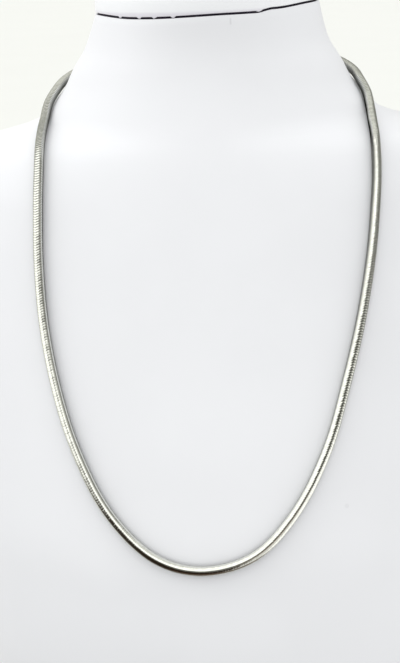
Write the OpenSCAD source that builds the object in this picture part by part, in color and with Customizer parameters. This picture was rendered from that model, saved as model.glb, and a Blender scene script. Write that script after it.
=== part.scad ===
// Round snake chain necklace, worn by a plain display bust with a short neck.
// Millimetres, +Z up, the front towards -Y, the origin under the middle of the base.

/* [Bust] */
// Height of the bust, from its base to the seam under the neck's top
bust_h = 270; // [240:1:300]
// Width of the neck at the seam
neck_w = 84; // [76:0.5:92]
// Depth of the neck in front of its axis, at the seam
neck_front = 41.5; // [36:0.5:44]
// Depth of the neck behind its axis, at the seam
neck_back = 39; // [35:0.5:43]
// Offset of the neck's top to the right
neck_offset = 0.9; // [0:0.1:2]
// Width of the chest
chest_w = 212; // [196:1:228]
// Reach of the chest in front of the neck's axis
chest_front = 99; // [92:1:106]
// Reach of the back behind the neck's axis
chest_back = 44; // [41:0.5:48]

/* [Neck cap] */
// Height of the neck's top above the seam
cap_h = 12; // [8:0.5:20]
// Radius of the cap's upper edge
cap_edge_r = 7; // [1:0.5:8]
// Height of the dark seam between the bust and the cap
seam_h = 0.8; // [0.5:0.1:1.5]
// Depth of the seam's groove
seam_depth = 1; // [0.5:0.25:4]
// Gap between the foot of the cap and the bust
cap_gap = 0.1; // [0.05:0.05:0.3]

/* [Chain] */
// Diameter of the snake chain
chain_d = 3.6; // [2.9:0.1:4.4]
// Gap between the chain and the bust
chain_gap = 0.35; // [0.3:0.05:0.6]

/* [Clasp] */
// Length of the barrel clasp
clasp_l = 14; // [11:0.5:18]
// Diameter of the barrel clasp
clasp_d = 5.2; // [5:0.1:6.5]
// Depth of the sockets that hold the ends of the chain
socket_depth = 2; // [1.5:0.25:3]
// Gap round and behind each end of the chain in its socket
socket_gap = 0.2; // [0.15:0.05:0.25]
// Radius of the barrel's rounded rims
clasp_rim_r = 0.4; // [0.2:0.05:0.5]

/* [Hidden] */

// Corners round each section of the bust, and sections from one row of the table to the next
bust_sides = 60;
bust_splits = 2;

// Sections of the bust, from the base up. The height is a share of bust_h. Width, front and
// back go from 0 at the neck's size to 1 at the chest's, and squareness is 2 on an ellipse.
HEIGHT = 0;
WIDTH = 1;
FRONT = 2;
BACK = 3;
SQUARENESS = 4;
bust_rows = [
    // height, width, front, back, squareness
    [0,     0.79,  0.78,  0.4, 2.4],
    [0.052, 0.84,  0.9,   0.8, 2.4],
    [0.167, 0.87,  1,     1,   2.4],
    [0.289, 0.9,   0.958, 1,   2.4],
    [0.407, 0.93,  0.831, 1,   2.4],
    [0.556, 0.961, 0.627, 0.8, 2.4],
    [0.685, 0.992, 0.445, 0.8, 2.3],
    [0.759, 1,     0.334, 0.7, 2.15],
    [0.804, 0.932, 0.262, 0.6, 2],
    [0.826, 0.836, 0.223, 0.5, 1.9],
    [0.841, 0.58,  0.194, 0.4, 1.85],
    [0.856, 0.366, 0.165, 0.3, 1.9],
    [0.874, 0.287, 0.13,  0.2, 1.95],
    [0.9,   0.193, 0.084, 0.1, 2],
    [0.926, 0.136, 0.046, 0.1, 2],
    [0.952, 0.067, 0.018, 0,   2],
    [0.974, 0.032, 0.005, 0,   2],
    [1,     0,     0,     0,   2],
];
last_row = len(bust_rows) - 1;

// Route of the chain over the bust, from its lowest point up and round to the clasp. The height
// is a share of bust_h. The turns go round the neck's axis, in degrees from the front, and are
// given for both sides because the chain hangs a little unevenly.
LEVEL = 0;
LEFT_TURN = 1;
RIGHT_TURN = 2;
chain_bottom = [-0.7, 0.31];
chain_rows = [
    // height, left turn, right turn
    [0.328, 11.2, 10.5],
    [0.382, 21, 19.9],
    [0.455, 28.9, 27.8],
    [0.53, 35.1, 33.8],
    [0.611, 40.3, 39.9],
    [0.69, 44.3, 45.4],
    [0.755, 47.5, 49.8],
    [0.795, 50.2, 53.1],
    [0.827, 54.1, 57],
    [0.844, 62, 64.5],
    [0.859, 71.3, 73.5],
    [0.876, 78.3, 80],
    [0.891, 85.4, 86.2],
    [0.902, 94, 95.5],
    [0.911, 104, 105],
    [0.92, 116, 116],
    [0.93, 130, 130],
    [0.94, 145, 145],
    [0.946, 160, 160],
];
// Height of the clasp, as a share of bust_h
clasp_level = 0.95;

// Sides of the chain's tube, and rings from one of the points that it goes through to the next
chain_sides = 8;
chain_splits = 3;
// Straight run of the chain outside each end of the clasp
clasp_lead = 1.5;
// Steps in the rounded edge of the cap
edge_steps = 4;
// Height above which the neck leans, as a share of bust_h
lean_level = 0.9;
// Small step for the slope of a surface, in degrees of turn and as a share of the height
turn_step = 0.1;
level_step = 0.0005;

chain_r = chain_d / 2;
clasp_r = clasp_d / 2;
socket_r = chain_r + socket_gap;

// Rise of a column between one row of the bust's table and the next
function rise(row, column) =
    (bust_rows[row + 1][column] - bust_rows[row][column])
    / (bust_rows[row + 1][HEIGHT] - bust_rows[row][HEIGHT]);

// Slope of a column at a row: between the rises on its two sides, and level at a peak
function slope(row, column) =
    row == 0 ? rise(0, column)
    : row == last_row ? rise(last_row - 1, column)
    : let (below = rise(row - 1, column), above = rise(row, column))
        below * above <= 0 ? 0 : 2 * below * above / (below + above);

// The row at or under a height
function row_under(level) = max([for (i = [0 : last_row - 1]) if (bust_rows[i][HEIGHT] <= level) i]);

// Smooth value of a column at any height
function column_at(level, column) =
    let (
        row = row_under(level),
        span = bust_rows[row + 1][HEIGHT] - bust_rows[row][HEIGHT],
        t = (level - bust_rows[row][HEIGHT]) / span
    )
    (2 * pow(t, 3) - 3 * pow(t, 2) + 1) * bust_rows[row][column]
    + (pow(t, 3) - 2 * pow(t, 2) + t) * span * slope(row, column)
    + (3 * pow(t, 2) - 2 * pow(t, 3)) * bust_rows[row + 1][column]
    + (pow(t, 3) - pow(t, 2)) * span * slope(row + 1, column);

// A size between the neck's and the chest's
function between(neck, chest, share) = neck + (chest - neck) * share;

// Sideways shift of the neck at a height
function lean(level) = neck_offset * pow(max(level - lean_level, 0) / (1 - lean_level), 2);

// Half width, front, back, squareness and sideways shift of the bust's section at a height
function section(level) = [
    between(neck_w, chest_w, column_at(level, WIDTH)) / 2,
    between(neck_front, chest_front, column_at(level, FRONT)),
    between(neck_back, chest_back, column_at(level, BACK)),
    column_at(level, SQUARENESS),
    lean(level),
];

// Point of a section's outline at a turn, round the neck's axis
function outline_point(sizes, turn, z) =
    let (
        side = sin(turn),
        ahead = cos(turn),
        depth = ahead > 0 ? sizes[1] : sizes[2],
        power = sizes[3],
        r = pow(pow(abs(side) / sizes[0], power) + pow(abs(ahead) / depth, power), -1 / power)
    )
    [sizes[4] + r * side, -r * ahead, z];

function outline(sizes, z) = [for (i = [0 : bust_sides - 1]) outline_point(sizes, 360 * i / bust_sides, z)];

// Point of the bust's surface
function bust_point(turn, level) = outline_point(section(level), turn, level * bust_h);

function unit(v) = v / norm(v);

// Outward direction of the bust's surface
function bust_normal(turn, level) =
    unit(cross(
        bust_point(turn + turn_step, level) - bust_point(turn - turn_step, level),
        bust_point(turn, level + level_step) - bust_point(turn, level - level_step)
    ));

// Where the middle of the chain lies on the bust
function seat(turn, level) = bust_point(turn, level) + bust_normal(turn, level) * (chain_r + chain_gap);

// Point of a smooth curve through four points, between the second and the third
function curve(p0, p1, p2, p3, t) =
    0.5 * (2 * p1 + (p2 - p0) * t + (2 * p0 - 5 * p1 + 4 * p2 - p3) * pow(t, 2)
    + (3 * p1 - p0 - 3 * p2 + p3) * pow(t, 3));

// The clasp lies across the back of the neck, clear of it
clasp_centre = bust_point(180, clasp_level) + [0, clasp_r + chain_gap, 0];
chain_end_x = clasp_l / 2 - socket_depth + socket_gap;
clasp_lead_x = clasp_l / 2 + clasp_lead;

// Points that the chain goes through, from the clasp's left end round the front to its right end
chain_knots = concat(
    [clasp_centre - [clasp_lead_x, 0, 0]],
    [for (i = [len(chain_rows) - 1 : -1 : 0]) seat(-chain_rows[i][LEFT_TURN], chain_rows[i][LEVEL])],
    [seat(chain_bottom[0], chain_bottom[1])],
    [for (row = chain_rows) seat(row[RIGHT_TURN], row[LEVEL])],
    [clasp_centre + [clasp_lead_x, 0, 0]]
);
last_knot = len(chain_knots) - 1;
function knot(i) = chain_knots[min(max(i, 0), last_knot)];

// Middle line of the chain: a smooth curve through these points, and straight into the clasp
chain_line = concat(
    [clasp_centre - [chain_end_x, 0, 0]],
    [for (i = [0 : last_knot - 1], k = [0 : chain_splits - 1])
        curve(knot(i - 1), knot(i), knot(i + 1), knot(i + 2), k / chain_splits)],
    [knot(last_knot), clasp_centre + [chain_end_x, 0, 0]]
);

// The neck's axis lies behind the middle of the whole, which is the origin
bust_reach = max([for (i = [0 : last_row * 4]) section(i / (last_row * 4))[1]]);
chain_reach = max([for (p = chain_line) -p[1]]) + chain_r;
front_reach = max(bust_reach, chain_reach);
back_reach = max(chest_back, clasp_centre[1] + clasp_r);
neck_y = (front_reach - back_reach) / 2;

// One closed solid through a list of rings that all have as many points
module skin(rings) {
    count = len(rings[0]);
    top = len(rings) - 1;
    sides = [for (i = [0 : top - 1], k = [0 : count - 1])
        let (next = (k + 1) % count)
        each [
            [i * count + k, (i + 1) * count + next, i * count + next],
            [i * count + k, (i + 1) * count + k, (i + 1) * count + next],
        ]];
    base = [for (k = [0 : count - 1]) k];
    lid = [for (k = [0 : count - 1]) top * count + count - 1 - k];
    polyhedron(points = [for (ring = rings) each ring], faces = concat(sides, [base, lid]));
}

// Direction of a line at one of its points
function heading(line, i) = unit(line[min(i + 1, len(line) - 1)] - line[max(i - 1, 0)]);

// Ring of a tube round one point of its line, with a flat side towards the bust
function tube_ring(line, i, r, count) =
    let (
        ahead = heading(line, i),
        across = unit(cross(ahead, [line[i][0], line[i][1], 0])),
        out = cross(across, ahead)
    )
    [for (k = [0 : count - 1])
        let (a = 360 * (k + 0.5) / count)
        line[i] + r * (cos(a) * out + sin(a) * across)];

// The bust: neck, shoulders and chest in one smooth body
module neck_bust() {
    levels = concat(
        [for (i = [0 : last_row - 1], k = [0 : bust_splits - 1])
            between(bust_rows[i][HEIGHT], bust_rows[i + 1][HEIGHT], k / bust_splits)],
        [1]
    );
    // The cut joins the triangles of the base into one flat face
    color([0.93, 0.94, 0.96])
        translate([0, neck_y, 0])
            difference() {
                skin([for (level = levels) outline(section(level), level * bust_h)]);
                translate([-chest_w, -chest_w, -bust_h])
                    cube([2 * chest_w, 2 * chest_w, bust_h]);
            }
}

// Section of the neck's top, drawn in by a distance
function cap_section(inset) = section(1) - [inset, inset, inset, 0, 0];

// The neck's top: a pad with a rounded edge on a smaller foot, which leaves the seam open
module neck_cap() {
    seam_top = bust_h + seam_h;
    cap_top = seam_top + cap_h;
    color([0.94, 0.95, 0.97])
        translate([0, neck_y, 0])
            skin(concat(
                [for (z = [bust_h + cap_gap, seam_top]) outline(cap_section(seam_depth), z)],
                [outline(cap_section(0), seam_top)],
                [for (k = [0 : edge_steps])
                    let (a = 90 * k / edge_steps)
                    outline(cap_section(cap_edge_r * (1 - cos(a))), cap_top - cap_edge_r * (1 - sin(a)))]
            ));
}

// The snake chain: one tube along its whole route
module snake_chain() {
    color([0.75, 0.75, 0.74])
        translate([0, neck_y, 0])
            skin([for (i = [0 : len(chain_line) - 1]) tube_ring(chain_line, i, chain_r, chain_sides)]);
}

// Half of the clasp's outline along its axis: a barrel with rounded rims and a socket in each end
module clasp_profile() {
    difference() {
        hull()
            for (z = [-1, 1])
                translate([0, z * (clasp_l / 2 - clasp_rim_r)]) {
                    translate([clasp_r - clasp_rim_r, 0])
                        circle(r = clasp_rim_r, $fn = 16);
                    translate([0, -clasp_rim_r])
                        square([clasp_r - clasp_rim_r, 2 * clasp_rim_r]);
                }
        for (z = [-1, 1])
            translate([0, z * clasp_l / 2 - socket_depth])
                square([socket_r, 2 * socket_depth]);
    }
}

// The clasp: one plain barrel that holds both ends of the chain at the nape
module clasp() {
    color([0.78, 0.78, 0.77])
        translate(clasp_centre + [0, neck_y, 0])
            rotate([0, 90, 0])
                rotate_extrude($fn = 48)
                    clasp_profile();
}

neck_bust();
neck_cap();
snake_chain();
clasp();
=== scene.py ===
"""Looks of the snake chain necklace on its neck bust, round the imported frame. Metres, +Z up, front to -Y."""

import bpy
import numpy as np
from mathutils import Matrix, Vector


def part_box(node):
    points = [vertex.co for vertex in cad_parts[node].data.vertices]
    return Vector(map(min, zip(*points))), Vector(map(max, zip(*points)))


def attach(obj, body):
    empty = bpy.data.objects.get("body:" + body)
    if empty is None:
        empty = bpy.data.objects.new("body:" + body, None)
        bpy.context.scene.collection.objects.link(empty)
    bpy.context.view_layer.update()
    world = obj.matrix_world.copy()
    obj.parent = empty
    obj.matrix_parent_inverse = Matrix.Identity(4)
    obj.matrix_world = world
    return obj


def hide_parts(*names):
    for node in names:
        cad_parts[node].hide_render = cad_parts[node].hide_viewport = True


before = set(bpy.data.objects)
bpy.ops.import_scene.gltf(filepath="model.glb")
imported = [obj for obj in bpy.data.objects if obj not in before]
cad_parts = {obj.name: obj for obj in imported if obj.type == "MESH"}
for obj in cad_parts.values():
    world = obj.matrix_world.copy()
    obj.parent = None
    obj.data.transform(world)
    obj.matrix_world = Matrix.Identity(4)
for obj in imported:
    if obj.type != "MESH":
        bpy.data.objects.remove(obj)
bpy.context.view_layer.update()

MM = 0.001

# Sizes of the bust, its neck and the clasp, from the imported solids
bust_low, bust_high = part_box("neck_bust")
cap_low, cap_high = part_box("neck_cap")
clasp_low, clasp_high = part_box("clasp")
NECK_FRONT = 41.5 * MM
NECK_Y = cap_low.y + NECK_FRONT
NECK_BACK = cap_high.y - NECK_Y
NECK_W = cap_high.x - cap_low.x
BUST_H = bust_high.z
CHEST_W = bust_high.x - bust_low.x
CHEST_FRONT = NECK_Y - bust_low.y
CHEST_BACK = bust_high.y - NECK_Y
CLASP_CENTRE = np.array((clasp_low + clasp_high) / 2)
CLASP_HALF = (clasp_high.x - clasp_low.x) / 2
CLASP_R = (clasp_high.z - clasp_low.z) / 2
# The neck leans to the right above a height, which is a share of the bust's
NECK_OFFSET = 0.9 * MM
LEAN_LEVEL = 0.9

# Sections of the bust, as in part.scad. The height is a share of the bust's height. Width, front
# and back go from 0 at the neck's size to 1 at the chest's, and squareness is 2 on an ellipse.
HEIGHT, WIDTH, FRONT, BACK, SQUARENESS = range(5)
BUST_ROWS = np.array([
    # height, width, front, back, squareness
    [0, 0.79, 0.78, 0.4, 2.4],
    [0.052, 0.84, 0.9, 0.8, 2.4],
    [0.167, 0.87, 1, 1, 2.4],
    [0.289, 0.9, 0.958, 1, 2.4],
    [0.407, 0.93, 0.831, 1, 2.4],
    [0.556, 0.961, 0.627, 0.8, 2.4],
    [0.685, 0.992, 0.445, 0.8, 2.3],
    [0.759, 1, 0.334, 0.7, 2.15],
    [0.804, 0.932, 0.262, 0.6, 2],
    [0.826, 0.836, 0.223, 0.5, 1.9],
    [0.841, 0.58, 0.194, 0.4, 1.85],
    [0.856, 0.366, 0.165, 0.3, 1.9],
    [0.874, 0.287, 0.13, 0.2, 1.95],
    [0.9, 0.193, 0.084, 0.1, 2],
    [0.926, 0.136, 0.046, 0.1, 2],
    [0.952, 0.067, 0.018, 0, 2],
    [0.974, 0.032, 0.005, 0, 2],
    [1, 0, 0, 0, 2],
])

# Route of the chain over the bust, as in part.scad: turns round the neck from the front, in degrees
CHAIN_BOTTOM = (-0.7, 0.31)
CHAIN_ROWS = np.array([
    # height, left turn, right turn
    [0.328, 11.2, 10.5],
    [0.382, 21, 19.9],
    [0.455, 28.9, 27.8],
    [0.53, 35.1, 33.8],
    [0.611, 40.3, 39.9],
    [0.69, 44.3, 45.4],
    [0.755, 47.5, 49.8],
    [0.795, 50.2, 53.1],
    [0.827, 54.1, 57],
    [0.844, 62, 64.5],
    [0.859, 71.3, 73.5],
    [0.876, 78.3, 80],
    [0.891, 85.4, 86.2],
    [0.902, 94, 95.5],
    [0.911, 104, 105],
    [0.92, 116, 116],
    [0.93, 130, 130],
    [0.94, 145, 145],
    [0.946, 160, 160],
])
CHAIN_R = 1.8 * MM
CHAIN_GAP = 0.35 * MM
# The clasp's sockets and rims, and how far the chain runs straight before it
SOCKET_DEPTH = 2 * MM
SOCKET_GAP = 0.2 * MM
CLASP_RIM_R = 0.4 * MM
CLASP_LEAD = 1.5 * MM

# The seam under the pad: its height, the inset of the near-black sheet in it that is painted shade,
# the level of the bed that the sheet stands on, and the places where the leatherette pinches the seam almost
# shut
SEAM_H = 0.8 * MM
SEAM_DEPTH = 1 * MM
SEAM_BED = BUST_H - 1 * MM
PINCHES = [
    # turn, depth in millimetres
    (-45, 0.6),
    (-44, 0.4),
    (-32, 0.5),
    (-31, 0.6),
    (-23, 0.6),
    (-22, 0.4),
    (-13, 0.6),
    (-12, 0.6),
    (30, 0.3),
    (31, 0.45),
    (32, 0.3),
]

# The zigzag rings of the chain. Their section is flatter where their gaps have little painted shade.
RING_PITCH = 0.92 * MM
RING_SLIT = 0.09 * MM
RING_WAVES = 4
RING_SWING = 0.2 * MM
RING_SIDES = 40
RING_PIECES = 4
LINE_STEP = 0.1 * MM
# Painted shade on the chain at heights in millimetres: how dark the gaps between its rings are painted,
# and how dark its side that lies on the bust and turns to the neck is painted, with how far that painted shade
# reaches round
DARKNESS = np.array([
    # height, gaps, side and reach on the left, gaps, side and reach on the right
    [85, 0, 1, 0, 0, 1, 0.1],
    [105, 0, 0.9, -0.05, 0, 0.6, 0.1],
    [125, 0, 0.8, -0.1, 0, 0.4, 0.15],
    [145, 0, 0.75, -0.15, 0.2, 0.45, 0.2],
    [165, 0.02, 0.75, -0.2, 0.4, 0.65, 0.2],
    [185, 0.1, 0.9, -0.25, 0.5, 0.75, 0.22],
    [200, 0.2, 1, -0.25, 0.5, 0.85, 0.25],
    [210, 0.28, 1, -0.25, 0.5, 0.95, 0.3],
    [222, 0.38, 0.85, -0.2, 0.55, 1, 0.35],
    [227, 0.8, 0.75, -0.2, 0.8, 1, 0],
    [230, 1, 0.65, -0.2, 0.8, 1, -0.2],
    [234, 0.7, 0.65, -0.2, 0.5, 1, -0.2],
    [240, 0.4, 0.6, -0.2, 0.4, 0.9, -0.2],
    [245, 0.4, 0.6, -0.2, 0.4, 0.6, -0.2],
])
# Distance from the middle at which the painted dark side turns to the neck, and how much on each side
UNDER_REACH = 62 * MM
UNDER_TURN_LEFT, UNDER_TURN_RIGHT = 0.8, 1.6
# Below these heights, the rings on the right have gaps, with their relief and painted shade, on their outer
# side only
BEHIND_LOW, BEHIND_HIGH = 233 * MM, 239 * MM
# Relief of the rings where they have no gaps, as a share, and the gaps that have the full relief
FLAT_RELIEF = 0.1
FULL_RELIEF_GAPS = 0.4
# Unevenness of the rings: how much their outside leans along the chain
RING_TILT = 0.015
# Section of a ring. Along is a share of its half width and depth is in millimetres.
RING_PROFILE = np.array([
    # along, depth
    [-1, 0.075],
    [-0.88, 0.022],
    [-0.6, 0.006],
    [-0.25, 0.001],
    [0.25, 0.001],
    [0.6, 0.006],
    [0.88, 0.022],
    [1, 0.075],
    [1, 0.20],
    [1.7, 0.22],
    [1.7, 0.38],
    [-1, 0.38],
])

# Edges sharper than these angles in degrees aren't smoothed
SHARP_ANGLE = 40
RING_SHARP_ANGLE = 35

# The camera, fitted to the photo
CAMERA_AZIMUTH = 5.25
CAMERA_ELEVATION = 14.5
CAMERA_ROLL = 2.5
CAMERA_DISTANCE = 0.6
CAMERA_TARGET = Vector((-2.5 * MM, NECK_Y - 50 * MM, 157.7 * MM))
CAMERA_LENS = 89.5


# Shapes

def slopes(column):
    """Slope of a column at each row: between the rises on its two sides, and level at a peak."""
    heights = BUST_ROWS[:, HEIGHT]
    rise = np.diff(BUST_ROWS[:, column]) / np.diff(heights)
    below, above = rise[:-1], rise[1:]
    same_way = below * above > 0
    total = np.where(same_way, below + above, 1)
    inner = np.where(same_way, 2 * below * above / total, 0)
    return np.concatenate([rise[:1], inner, rise[-1:]])


def row_below(knots, place):
    """Number of the last knot at or below a place, and never the last knot of all."""
    return np.clip(np.searchsorted(knots, place, side="right") - 1, 0, len(knots) - 2)


def blend(values, slope, row, span, t):
    """Smooth value at a share t of the span between a row and the next."""
    return (
        (2 * t**3 - 3 * t**2 + 1) * values[row]
        + (t**3 - 2 * t**2 + t) * span * slope[row]
        + (3 * t**2 - 2 * t**3) * values[row + 1]
        + (t**3 - t**2) * span * slope[row + 1]
    )


def column_at(level, column):
    """Smooth value of a column at any height."""
    heights = BUST_ROWS[:, HEIGHT]
    row = row_below(heights, level)
    span = heights[row + 1] - heights[row]
    return blend(BUST_ROWS[:, column], slopes(column), row, span, (level - heights[row]) / span)


def section(level):
    """Half width, front, back, squareness and sideways shift of the bust at a height."""
    lean = NECK_OFFSET * (np.maximum(level - LEAN_LEVEL, 0) / (1 - LEAN_LEVEL)) ** 2
    return (
        (NECK_W + (CHEST_W - NECK_W) * column_at(level, WIDTH)) / 2,
        NECK_FRONT + (CHEST_FRONT - NECK_FRONT) * column_at(level, FRONT),
        NECK_BACK + (CHEST_BACK - NECK_BACK) * column_at(level, BACK),
        column_at(level, SQUARENESS),
        lean,
    )


def outline_point(sizes, turn, z, inset=0.0):
    """Points of a section's outline at turns round the neck's axis, in degrees from the front."""
    half, front, back, power, shift = sizes
    side, ahead = np.sin(np.radians(turn)), np.cos(np.radians(turn))
    depth = np.where(ahead > 0, front, back) - inset
    r = ((np.abs(side) / (half - inset)) ** power + (np.abs(ahead) / depth) ** power) ** (-1 / power)
    return np.stack(np.broadcast_arrays(shift + r * side, NECK_Y - r * ahead, z), -1)


def bust_point(turn, level):
    return outline_point(section(level), turn, level * BUST_H)


def unit(v):
    return v / np.linalg.norm(v, axis=-1, keepdims=True)


def bust_normal(turn, level):
    """Outward direction of the bust's surface."""
    turn_step, level_step = 0.1, 0.0005
    return unit(np.cross(
        bust_point(turn + turn_step, level) - bust_point(turn - turn_step, level),
        bust_point(turn, level + level_step) - bust_point(turn, level - level_step),
    ))


def curve(points, splits):
    """A smooth line through a list of points, with its steps filled in."""
    padded = np.concatenate([points[:1], points, points[-1:]])
    t = (np.arange(splits) / splits)[:, None]
    rows = [
        0.5 * (2 * p1 + (p2 - p0) * t + (2 * p0 - 5 * p1 + 4 * p2 - p3) * t**2
               + (3 * p1 - p0 - 3 * p2 + p3) * t**3)
        for p0, p1, p2, p3 in zip(padded, padded[1:], padded[2:], padded[3:])
    ]
    return np.concatenate(rows + [points[-1:]])


def chain_line():
    """Middle line of the chain from one clasp socket round the front to the other, and the bust's
    outward direction under it."""
    level, left, right = CHAIN_ROWS.T
    route = np.concatenate([
        np.column_stack([-left, level])[::-1],
        [CHAIN_BOTTOM],
        np.column_stack([right, level]),
    ])
    outward = bust_normal(*route.T)
    seat = bust_point(*route.T) + outward * (CHAIN_R + CHAIN_GAP)
    end = np.array([CLASP_HALF - SOCKET_DEPTH + SOCKET_GAP, 0, 0])
    lead = np.array([CLASP_HALF + CLASP_LEAD, 0, 0])
    back = [(0, 1, 0)]
    knots = np.concatenate([[CLASP_CENTRE - lead], seat, [CLASP_CENTRE + lead]])
    line = np.concatenate([[CLASP_CENTRE - end], curve(knots, 3), [CLASP_CENTRE + end]])
    outward = np.concatenate([back, curve(np.concatenate([back, outward, back]), 3), back])
    return line, unit(outward)


def distances(points):
    """Distance of each point along a line from its start."""
    return np.concatenate([[0], np.cumsum(np.linalg.norm(np.diff(points, axis=0), axis=1))])


def along_line(points, outward, step):
    """The line as a smooth one at even steps: distances, points, two directions across it, and the
    bust's outward direction."""
    knots = distances(points)
    gaps = np.diff(knots)[:, None]
    chord = np.diff(points, axis=0) / gaps
    inner = (chord[:-1] * gaps[1:] + chord[1:] * gaps[:-1]) / (gaps[1:] + gaps[:-1])
    tangents = np.concatenate([chord[:1], inner, chord[-1:]])
    s = np.linspace(0, knots[-1], int(knots[-1] / step) + 1)
    row = row_below(knots, s)
    span = gaps[row]
    t = (s - knots[row])[:, None] / span
    line = blend(points, tangents, row, span, t)
    heading = unit(np.gradient(line, axis=0))
    out = np.zeros_like(line)
    out[0] = (0, 1, 0)
    for i in range(1, len(line)):
        out[i] = out[i - 1] - heading[i] * np.dot(out[i - 1], heading[i])
        out[i] /= np.linalg.norm(out[i])
    away = outward[row] * (1 - t) + outward[row + 1] * t
    return distances(line), line, out, np.cross(heading, out), unit(away)


def mesh_object(name, points, faces, sharp_angle):
    """A new closed mesh, smooth but for edges sharper than an angle in degrees."""
    mesh = bpy.data.meshes.new(name)
    mesh.from_pydata(points.reshape(-1, 3), [], faces)
    mesh.shade_smooth()
    mesh.set_sharp_from_angle(angle=np.radians(sharp_angle))
    piece = bpy.data.objects.new(name, mesh)
    bpy.context.scene.collection.objects.link(piece)
    return piece


def skin(name, rings):
    """A closed body through rings of points, from the bottom up, that go anticlockwise from above."""
    rows, count = rings.shape[:2]
    ring, k = np.meshgrid(np.arange(rows - 1), np.arange(count), indexing="ij")
    after = (k + 1) % count
    quads = np.stack([ring * count + k, ring * count + after,
                      (ring + 1) * count + after, (ring + 1) * count + k], -1).reshape(-1, 4)
    base = list(range(count))[::-1]
    lid = list(range((rows - 1) * count, rows * count))
    return mesh_object(name, rings, quads.tolist() + [base, lid], SHARP_ANGLE)


def smooth_step(value, low, high):
    t = np.clip((value - low) / (high - low), 0, 1)
    return t * t * (3 - 2 * t)


def seam_lift(x):
    """Height of the uneven seam over its mean: a sag on the left and two steps up on the right."""
    sag = smooth_step(x, -38 * MM, -24 * MM) * (1 - smooth_step(x, -20 * MM, 12 * MM))
    first = smooth_step(x, 21 * MM, 27 * MM)
    second = smooth_step(x, 28 * MM, 40 * MM)
    return (0.9 * first + 0.8 * second - 0.7 * sag) * MM


def lifted(ring, share):
    """A ring that follows the uneven seam, wholly or in part."""
    ring = ring.copy()
    ring[:, 2] += share * seam_lift(ring[:, 0])
    return ring


def neck_bust():
    """The bust in one smooth body, with a soft edge at its base and a rim that follows the seam."""
    turns = np.arange(0, 360, 1.0)
    base_r, rim_r, rim_w = 2 * MM, 0.25 * MM, 0.7 * MM
    edge = np.radians(np.linspace(0, 90, 5))
    rings = [
        outline_point(section(z / BUST_H), turns, z, base_r * (1 - np.sin(a)))
        for a in edge[:-1]
        for z in [base_r * (1 - np.cos(a))]
    ]
    for z in np.linspace(base_r, BUST_H - rim_r, 120):
        share = smooth_step(z, BUST_H - 12 * MM, BUST_H)
        rings.append(lifted(outline_point(section(z / BUST_H), turns, z), share))
    for a in edge[1:]:
        z = BUST_H - rim_r * (1 - np.sin(a))
        rings.append(lifted(outline_point(section(1.0), turns, z, rim_r * (1 - np.cos(a))), 1))
    rings.append(lifted(outline_point(section(1.0), turns, BUST_H, rim_w), 1))
    rings.append(outline_point(section(1.0), turns, SEAM_BED, rim_w + 0.1 * MM))
    return skin("bust_body", np.array(rings))


def neck_pad():
    """The pad on top of the neck: a soft lower lip along the seam, a rounded edge and a low crown."""
    turns = np.arange(0, 360, 1.0)
    lip_r, edge_r, crown = 0.3 * MM, 7 * MM, 1 * MM
    sizes = section(1.0)
    pinch = np.zeros(len(turns))
    for turn, depth in PINCHES:
        pinch[turn % 360] = depth * MM
    rim_z = cap_high.z - crown
    rings = []
    for inset in (3 * MM, SEAM_DEPTH + 0.2 * MM):
        rings.append(lifted(outline_point(sizes, turns, BUST_H + SEAM_H + 0.2 * MM, inset), 1))
    for a in np.radians(np.linspace(0, 90, 5)):
        z = BUST_H + SEAM_H + lip_r * (1 - np.cos(a)) - pinch * np.cos(a)
        rings.append(lifted(outline_point(sizes, turns, z, lip_r * (1 - np.sin(a))), 1))
    for a in np.radians(np.linspace(0, 90, 9)):
        z = rim_z - edge_r * (1 - np.sin(a))
        rings.append(outline_point(sizes, turns, z, edge_r * (1 - np.cos(a))))
    top = rings[-1]
    middle = top.mean(axis=0)
    for share in np.linspace(0.9, 0.1, 9):
        ring = middle + (top - middle) * share
        ring[:, 2] = rim_z + crown * (1 - share**2)
        rings.append(ring)
    return skin("neck_pad", np.array(rings))


def seam_shade_sheet():
    """A near-black sheet in the seam, as painted shade: the foot of the pad."""
    turns = np.arange(0, 360, 2.0)
    levels = (SEAM_BED + 0.1 * MM, BUST_H + 4 * MM)
    rings = [outline_point(section(1.0), turns, z, SEAM_DEPTH) for z in levels]
    return skin("seam_shade_sheet", np.array(rings))


def barrel():
    """The clasp: a smooth barrel with soft rims and a socket in each end for the chain."""
    socket = CHAIN_R + SOCKET_GAP
    rim = np.array([CLASP_RIM_R - CLASP_HALF, CLASP_R - CLASP_RIM_R])
    profile = [(SOCKET_DEPTH - CLASP_HALF, socket), (-CLASP_HALF, socket)]
    for turn in np.radians(np.linspace(0, 90, 5)):
        profile.append(tuple(rim + CLASP_RIM_R * np.array([-np.cos(turn), np.sin(turn)])))
    profile += [(-along, r) for along, r in profile[::-1]]
    a = np.radians(np.arange(0, 360, 7.5))
    rings = [np.stack([0 * a + along, r * np.cos(a), r * np.sin(a)], -1) for along, r in profile]
    return skin("clasp_barrel", CLASP_CENTRE + np.array(rings))


def zigzag(turn):
    """A wave between -1 and 1 with straight flanks and slightly rounded points."""
    sharpness = 0.96
    return np.arcsin(sharpness * np.sin(turn)) / np.arcsin(sharpness)


def bright_side(line, away):
    """Direction of the chain's bright side, the one without painted shade: away from the bust, and from the
    neck on both sides.
    """
    beside = np.zeros_like(away)
    beside[:, 0] = (line[:, 0] / UNDER_REACH) ** 3
    beside[:, 0] *= np.where(line[:, 0] > 0, UNDER_TURN_RIGHT, UNDER_TURN_LEFT)
    return unit(away + beside)


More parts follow.
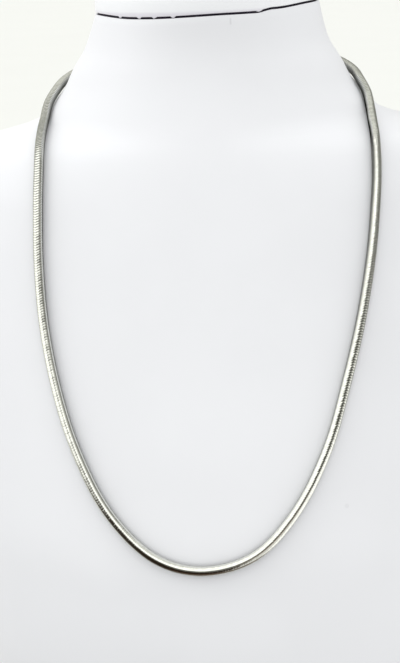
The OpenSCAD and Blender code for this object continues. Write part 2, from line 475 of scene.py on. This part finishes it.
def darkness(place, spoke, bright):
    """How dark the gaps between the rings are painted at points of the chain, and the painted shade on its
    side towards the bust and the neck.
    """
    levels = [np.interp(place[..., 2] / MM, DARKNESS[:, 0], column) for column in DARKNESS[:, 1:].T]
    gaps, side, reach_round = [np.where(place[..., 0] < 0, *levels[i::3]) for i in range(3)]
    behind = smooth_step(place[..., 2], BEHIND_LOW, BEHIND_HIGH)
    outer = np.maximum(smooth_step(spoke[..., 0], 0.2, 0.7), behind)
    gaps = gaps * np.where(place[..., 0] < 0, 1, outer)
    turned = reach_round - np.sum(spoke * bright, axis=-1)
    paler = 1 - 0.3 * smooth_step(turned, 0.6, 1.1)
    return gaps, side * smooth_step(turned, -0.1, 0.5) * paler


def ring_faces(count):
    """Faces of rings whose points go round their section first, and then round the chain."""
    corners = len(RING_PROFILE)
    j, k = np.meshgrid(np.arange(RING_SIDES), np.arange(corners), indexing="ij")
    j_next, k_next = (j + 1) % RING_SIDES, (k + 1) % corners
    first = np.stack([j * corners + k, j * corners + k_next,
                      j_next * corners + k_next, j_next * corners + k], -1).reshape(-1, 4)
    starts = np.arange(count)[:, None, None] * RING_SIDES * corners
    return (starts + first[None]).reshape(-1, 4).tolist()


def scale_rings():
    """The chain: hundreds of zigzag rings, each with a lip under the next, in a few joined pieces.
    Their points hold how dark the shade painted on the side towards the bust and in the gaps is, and how satin
    they are."""
    length, line, out, across, away = along_line(*chain_line(), LINE_STEP)
    half = (RING_PITCH - RING_SLIT) / 2
    reach = RING_SWING + 2 * half
    count = int((length[-1] - 2 * reach) / RING_PITCH)
    middle = length[-1] / 2 + RING_PITCH * (np.arange(count) - (count - 1) / 2)
    turn = np.radians(np.arange(RING_SIDES) * 360 / RING_SIDES)
    wave = RING_SWING * zigzag(RING_WAVES * turn + np.pi / 2)
    shift = RING_PROFILE[:, 0] * half
    s = middle[:, None, None] + wave[None, :, None] + shift[None, None, :]

    def at(values):
        return np.stack([np.interp(s, length, values[:, i]) for i in range(3)], -1)

    cos, sin = np.cos(turn)[None, :, None, None], np.sin(turn)[None, :, None, None]
    spoke = cos * at(out) + sin * at(across)
    place = at(line)
    gaps, under = darkness(place, spoke, at(bright_side(line, away)))
    groove = np.clip((np.abs(RING_PROFILE[:, 0]) - 0.45) / 0.4, 0, 1)
    tilt = np.random.default_rng(5).normal(0, RING_TILT, (count, RING_WAVES * 2))
    tilt = np.repeat(tilt, RING_SIDES // (RING_WAVES * 2), axis=1)
    relief = FLAT_RELIEF + (1 - FLAT_RELIEF) * np.clip(gaps / FULL_RELIEF_GAPS, 0, 1)
    r = CHAIN_R - relief * RING_PROFILE[:, 1] * MM + tilt[:, :, None] * shift
    points = place + np.minimum(r, CHAIN_R)[..., None] * spoke
    pieces = []
    for number, share in enumerate(np.array_split(np.arange(count), RING_PIECES)):
        faces = ring_faces(len(share))
        piece = mesh_object(f"chain_rings_{number + 1}", points[share], faces, RING_SHARP_ANGLE)
        # Painted shade on the side towards the bust and in the gaps, and the satin roughness
        for name, values in (("under", under), ("groove", groove * gaps), ("satin", gaps)):
            data = piece.data.attributes.new(name, "FLOAT", "POINT").data
            data.foreach_set("value", values[share].ravel().astype(np.float32))
        pieces.append(piece)
    return pieces


# Materials

class Nodes:
    """A node tree with short calls to add and join nodes."""

    def __init__(self, tree):
        self.tree = tree
        tree.nodes.clear()

    def fill(self, socket, value):
        """Gives an input a number, a colour or another node's output."""
        if isinstance(value, bpy.types.NodeSocket):
            self.tree.links.new(value, socket)
        else:
            socket.default_value = value

    def add(self, kind, settings=(), **inputs):
        """A new node: settings are its own properties, and inputs are numbers or other nodes' outputs."""
        node = self.tree.nodes.new("ShaderNode" + kind)
        for key, value in dict(settings).items():
            setattr(node, key, value)
        for key, value in inputs.items():
            name = key.replace("_", " ")
            socket = node.inputs[int(name[3:])] if name.startswith("in ") else node.inputs[name]
            self.fill(socket, value)
        return node

    def math(self, operation, a, b=0.0):
        """A sum or another operation on numbers."""
        return self.add("Math", {"operation": operation}, in_0=a, in_1=b).outputs[0]

    def ramp(self, value, low, high, to_low=0.0, to_high=1.0):
        """A soft step from one value to another."""
        node = self.add("MapRange", {"interpolation_type": "SMOOTHSTEP"}, Value=value)
        node.inputs["From Min"].default_value = low
        node.inputs["From Max"].default_value = high
        node.inputs["To Min"].default_value = to_low
        node.inputs["To Max"].default_value = to_high
        return node.outputs["Result"]

    def mix(self, factor, a, b):
        """A colour between two."""
        node = self.add("Mix", {"data_type": "RGBA"})
        for name, value in (("Factor_Float", factor), ("A_Color", a), ("B_Color", b)):
            self.fill(next(i for i in node.inputs if i.identifier == name), value)
        return next(o for o in node.outputs if o.identifier == "Result_Color")


def new_material(name):
    """A material, its nodes, its shader and its object coordinates."""
    material = bpy.data.materials.new(name)
    material.use_nodes = True
    nodes = Nodes(material.node_tree)
    shader = nodes.add("BsdfPrincipled")
    nodes.add("OutputMaterial", Surface=shader.outputs[0])
    return material, nodes, shader, nodes.add("TexCoord").outputs["Object"]


def leatherette(name, colour, marks=(), lip=None):
    """White imitation leather with a very fine grain, small marks, one of them the painted shade of a crease,
    and painted shade along its edge above a seam.
    """
    material, nodes, shader, place = new_material(name)
    cloud = nodes.add("TexNoise", Vector=place, Scale=25.0, Detail=3.0).outputs[0]
    darker = [c * 0.985 for c in colour]
    shade = nodes.mix(nodes.ramp(cloud, 0.35, 0.65), (*darker, 1), (*colour, 1))
    for point, radius, strength in marks:
        # Each mark darkens a spot: the speck is a real mark, the crease under the seam is painted shade
        spot = nodes.add("VectorMath", {"operation": "DISTANCE"}, in_0=place, in_1=point)
        speck_and_crease_shade = nodes.ramp(spot.outputs["Value"], radius * 0.5, radius, strength, 0.0)
        shade = nodes.mix(speck_and_crease_shade, shade, (0.10, 0.09, 0.11, 1))
    if lip:
        # Painted shade along the edge just above the seam
        height = nodes.add("SeparateXYZ", Vector=place).outputs["Z"]
        lip_shade = nodes.ramp(height, lip, lip + 1.4 * MM, 0.3, 0.0)
        shade = nodes.mix(lip_shade, shade, (0.45, 0.38, 0.5, 1))
    nodes.fill(shader.inputs["Base Color"], shade)
    sheen = nodes.ramp(cloud, 0.3, 0.7, 0.46, 0.54)
    nodes.fill(shader.inputs["Roughness"], sheen)
    grain = nodes.add("TexVoronoi", Vector=place, Scale=1500.0).outputs["Distance"]
    bump = nodes.add("Bump", Height=grain, Strength=0.12, Distance=0.05 * MM)
    nodes.fill(shader.inputs["Normal"], bump.outputs[0])
    return material


def shade_paint(name, colour):
    """Near-black paint for painted shade, dull and a little uneven."""
    material, nodes, shader, place = new_material(name)
    cloud = nodes.add("TexNoise", Vector=place, Scale=700.0).outputs[0]
    paler = [c * 2 for c in colour]
    shade = nodes.mix(nodes.ramp(cloud, 0.3, 0.8), (*colour, 1), (*paler, 1))
    nodes.fill(shader.inputs["Base Color"], shade)
    shader.inputs["Roughness"].default_value = 0.9
    return material


def steel(name, colour, roughness, marked=False):
    """Polished stainless steel, a little warm, with painted shade in the gaps and on the side towards the bust
    if marked so.
    """
    material, nodes, shader, place = new_material(name)
    shader.inputs["Metallic"].default_value = 1.0
    patches = nodes.add("TexNoise", Vector=place, Scale=900.0, Detail=2.0).outputs[0]
    darker = [c * 0.9 for c in colour]
    shade = nodes.mix(nodes.ramp(patches, 0.35, 0.65), (*darker, 1), (*colour, 1))
    # Painted shade: the gaps and the side towards the bust are darkened in the colour and the specular tint
    if marked:
        under = nodes.add("Attribute", {"attribute_name": "under"}).outputs["Fac"]
        groove = nodes.add("Attribute", {"attribute_name": "groove"}).outputs["Fac"]
        dark = [c * 0.13 for c in colour]
        shade = nodes.mix(groove, shade, (*dark, 1))
        shade = nodes.mix(under, shade, (*dark, 1))
    nodes.fill(shader.inputs["Base Color"], shade)
    nodes.fill(shader.inputs["Specular Tint"], shade)
    polish = nodes.ramp(patches, 0.3, 0.7, roughness * 1.15, roughness)
    if marked:
        satin = nodes.add("Attribute", {"attribute_name": "satin"}).outputs["Fac"]
        polish = nodes.math("ADD", polish, nodes.ramp(satin, 0.15, 0.4, 0.0, 0.05))
    nodes.fill(shader.inputs["Roughness"], polish)
    return material


# Pieces

def dress(piece, node, material):
    """Puts a piece in its CAD node's place."""
    piece.data.materials.append(material)
    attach(piece, "root")
    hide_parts(node)


WHITE = (0.862, 0.872, 0.892)
PAD_WHITE = (0.95, 0.965, 0.98)
STEEL = (0.79, 0.797, 0.757)
# A short crease under the seam, shown only as painted shade, and a speck on the chest, as points of the
# surface, radius and strength
CREASE_SHADE = [((12.2 * MM, NECK_Y - 40.1 * MM, (266.9 + 0.45 * i) * MM), 0.45 * MM, 0.1) for i in range(5)]
SPECK = [((49.4 * MM, NECK_Y - 83.8 * MM, 102.4 * MM), 1.1 * MM, 0.07)]
dress(neck_bust(), "neck_bust", leatherette("white_leatherette", WHITE, CREASE_SHADE + SPECK))
dress(neck_pad(), "neck_cap",
      leatherette("pad_leatherette", PAD_WHITE, lip=BUST_H + SEAM_H))
# A near-black sheet in the seam under the pad, as painted shade
dress(seam_shade_sheet(), "neck_cap", shade_paint("painted_seam_shade", (0.012, 0.007, 0.016)))
chain_steel = steel("chain_steel", STEEL, 0.07, marked=True)
for rings in scale_rings():
    dress(rings, "snake_chain", chain_steel)
dress(barrel(), "clasp", steel("clasp_steel", STEEL, 0.2))


# Floor, light and camera

def floor():
    """A plain pale floor, far wider than the view."""
    turns = np.radians(np.arange(0, 360, 5.0))
    radius = 9.0
    points = np.stack([radius * np.cos(turns), radius * np.sin(turns), 0 * turns], -1)
    mesh = bpy.data.meshes.new("floor")
    mesh.from_pydata(points, [], [list(range(len(points)))])
    piece = bpy.data.objects.new("floor", mesh)
    bpy.context.scene.collection.objects.link(piece)
    material, nodes, shader, place = new_material("floor_paper")
    cloud = nodes.add("TexNoise", Vector=place, Scale=6.0).outputs[0]
    shade = nodes.mix(cloud, (0.825, 0.835, 0.8, 1), (0.845, 0.855, 0.82, 1))
    nodes.fill(shader.inputs["Base Color"], shade)
    shader.inputs["Roughness"].default_value = 0.9
    mesh.materials.append(material)
    piece.visible_glossy = False
    piece.visible_diffuse = False


# What the polished chain mirrors, as soft-edged patches round it. Turn goes from the front to the
# right and rise up from the horizon, both in degrees.
WALLS = (0.86, 0.86, 0.81)
PATCH_SOFTNESS = 4
PATCHES = [
    # turn from and to, rise from and to, colour
    (-94, -30, -15, 88, (1.45, 1.45, 1.37)),
    (-89, 30, 40, 87, (1.4, 1.4, 1.34)),
    (128, 181, -24, 30, (0.42, 0.42, 0.39)),
    (58, 128, -24, 51, (0.29, 0.29, 0.265)),
    (-8, 60, 2, 22, (0.09, 0.09, 0.075)),
    (-38, -7, -8, 18, (0.08, 0.07, 0.055)),
    (51, 99, -84, -8, (1.45, 1.43, 1.37)),
    (-54, 12, -95, 0, (0.025, 0.017, 0.011)),
    (-33, 19, -43, -37, (0.06, 0.025, 0.015)),
    (-181, 181, -95, -52, (0.17, 0.13, 0.1)),
    (36, 58, 24, 52, (0.6, 0.6, 0.56)),
    (-34, 24, 26, 44, (1.55, 1.55, 1.48)),
    (-88, -49, -79, -11, (0.07, 0.06, 0.05)),
    (2, 29, -9, 4, (0.5, 0.42, 0.36)),
    (40, 48, -15, -6, (1.7, 1.65, 1.6)),
    (-56, -27, 11, 34, (1.5, 1.5, 1.42)),
]


def studio():
    """Soft light from all round, brighter from above, and the patches that the chain mirrors."""
    world = bpy.data.worlds.new("studio")
    bpy.context.scene.world = world
    world.use_nodes = True
    nodes = Nodes(world.node_tree)
    way = nodes.add("TexCoord").outputs["Generated"]
    x, y, z = nodes.add("SeparateXYZ", Vector=way).outputs
    ahead = nodes.math("MULTIPLY", y, -1.0)
    turn = nodes.math("DEGREES", nodes.math("ARCTAN2", x, ahead))
    rise = nodes.math("DEGREES", nodes.math("ARCSINE", z))

    def band(value, low, high):
        up = nodes.ramp(value, low - PATCH_SOFTNESS, low + PATCH_SOFTNESS)
        down = nodes.ramp(value, high - PATCH_SOFTNESS, high + PATCH_SOFTNESS, 1.0, 0.0)
        return nodes.math("MULTIPLY", up, down)

    glossy = nodes.add("RGB")
    glossy.outputs[0].default_value = (*WALLS, 1)
    glossy = glossy.outputs[0]
    for turn_low, turn_high, rise_low, rise_high, colour in PATCHES:
        patch = nodes.math("MULTIPLY", band(turn, turn_low, turn_high), band(rise, rise_low, rise_high))
        glossy = nodes.mix(patch, glossy, (*colour, 1))

    slant = nodes.add("VectorMath", {"operation": "DOT_PRODUCT"}, in_0=way, in_1=(0.14, 0.24, 0.36))
    level = nodes.math("ADD", slant.outputs["Value"], 0.885)
    soft = nodes.add("VectorMath", {"operation": "SCALE"}, in_0=(1.0, 1.0, 1.0), Scale=level)
    path = nodes.add("LightPath")
    colour = nodes.mix(path.outputs["Is Diffuse Ray"], glossy, soft.outputs[0])
    colour = nodes.mix(path.outputs["Is Camera Ray"], colour, (0.98, 0.985, 0.95, 1))
    background = nodes.add("Background", Color=colour)
    nodes.add("OutputWorld", Surface=background.outputs[0])


def lamp(name, place, aim, size, power):
    """A wide soft lamp that the chain doesn't mirror."""
    data = bpy.data.lights.new(name, "AREA")
    data.size = size
    data.energy = power
    piece = bpy.data.objects.new(name, data)
    bpy.context.scene.collection.objects.link(piece)
    way = Vector(aim) - Vector(place)
    piece.matrix_world = Matrix.Translation(place) @ way.to_track_quat("-Z", "Y").to_matrix().to_4x4()
    piece.visible_glossy = False


def camera():
    """The photo's camera, from the front, a little above and to the right, and slightly tilted."""
    data = bpy.data.cameras.new("camera")
    data.lens = CAMERA_LENS
    data.sensor_width = 36
    data.clip_start, data.clip_end = 0.01, 50
    turn, rise, roll = np.radians([CAMERA_AZIMUTH, CAMERA_ELEVATION, CAMERA_ROLL])
    back = Vector((np.sin(turn) * np.cos(rise), -np.cos(turn) * np.cos(rise), np.sin(rise)))
    level = Vector((np.cos(turn), np.sin(turn), 0))
    up = back.cross(level)
    right = level * np.cos(roll) - up * np.sin(roll)
    top = level * np.sin(roll) + up * np.cos(roll)
    piece = bpy.data.objects.new("camera", data)
    bpy.context.scene.collection.objects.link(piece)
    turned = Matrix((right, top, back)).transposed().to_4x4()
    piece.matrix_world = Matrix.Translation(CAMERA_TARGET + back * CAMERA_DISTANCE) @ turned
    bpy.context.scene.camera = piece


floor()
studio()
lamp("left_lamp", (-0.66, NECK_Y - 0.06, 0.6), (0, NECK_Y - 0.03, 0.2), size=0.8, power=2.0)
lamp("front_lamp", (0.02, NECK_Y - 0.5, 0.16), (0, NECK_Y - 0.07, 0.15), size=0.3, power=0.34)
camera()
bpy.context.scene.view_settings.view_transform = "Standard"
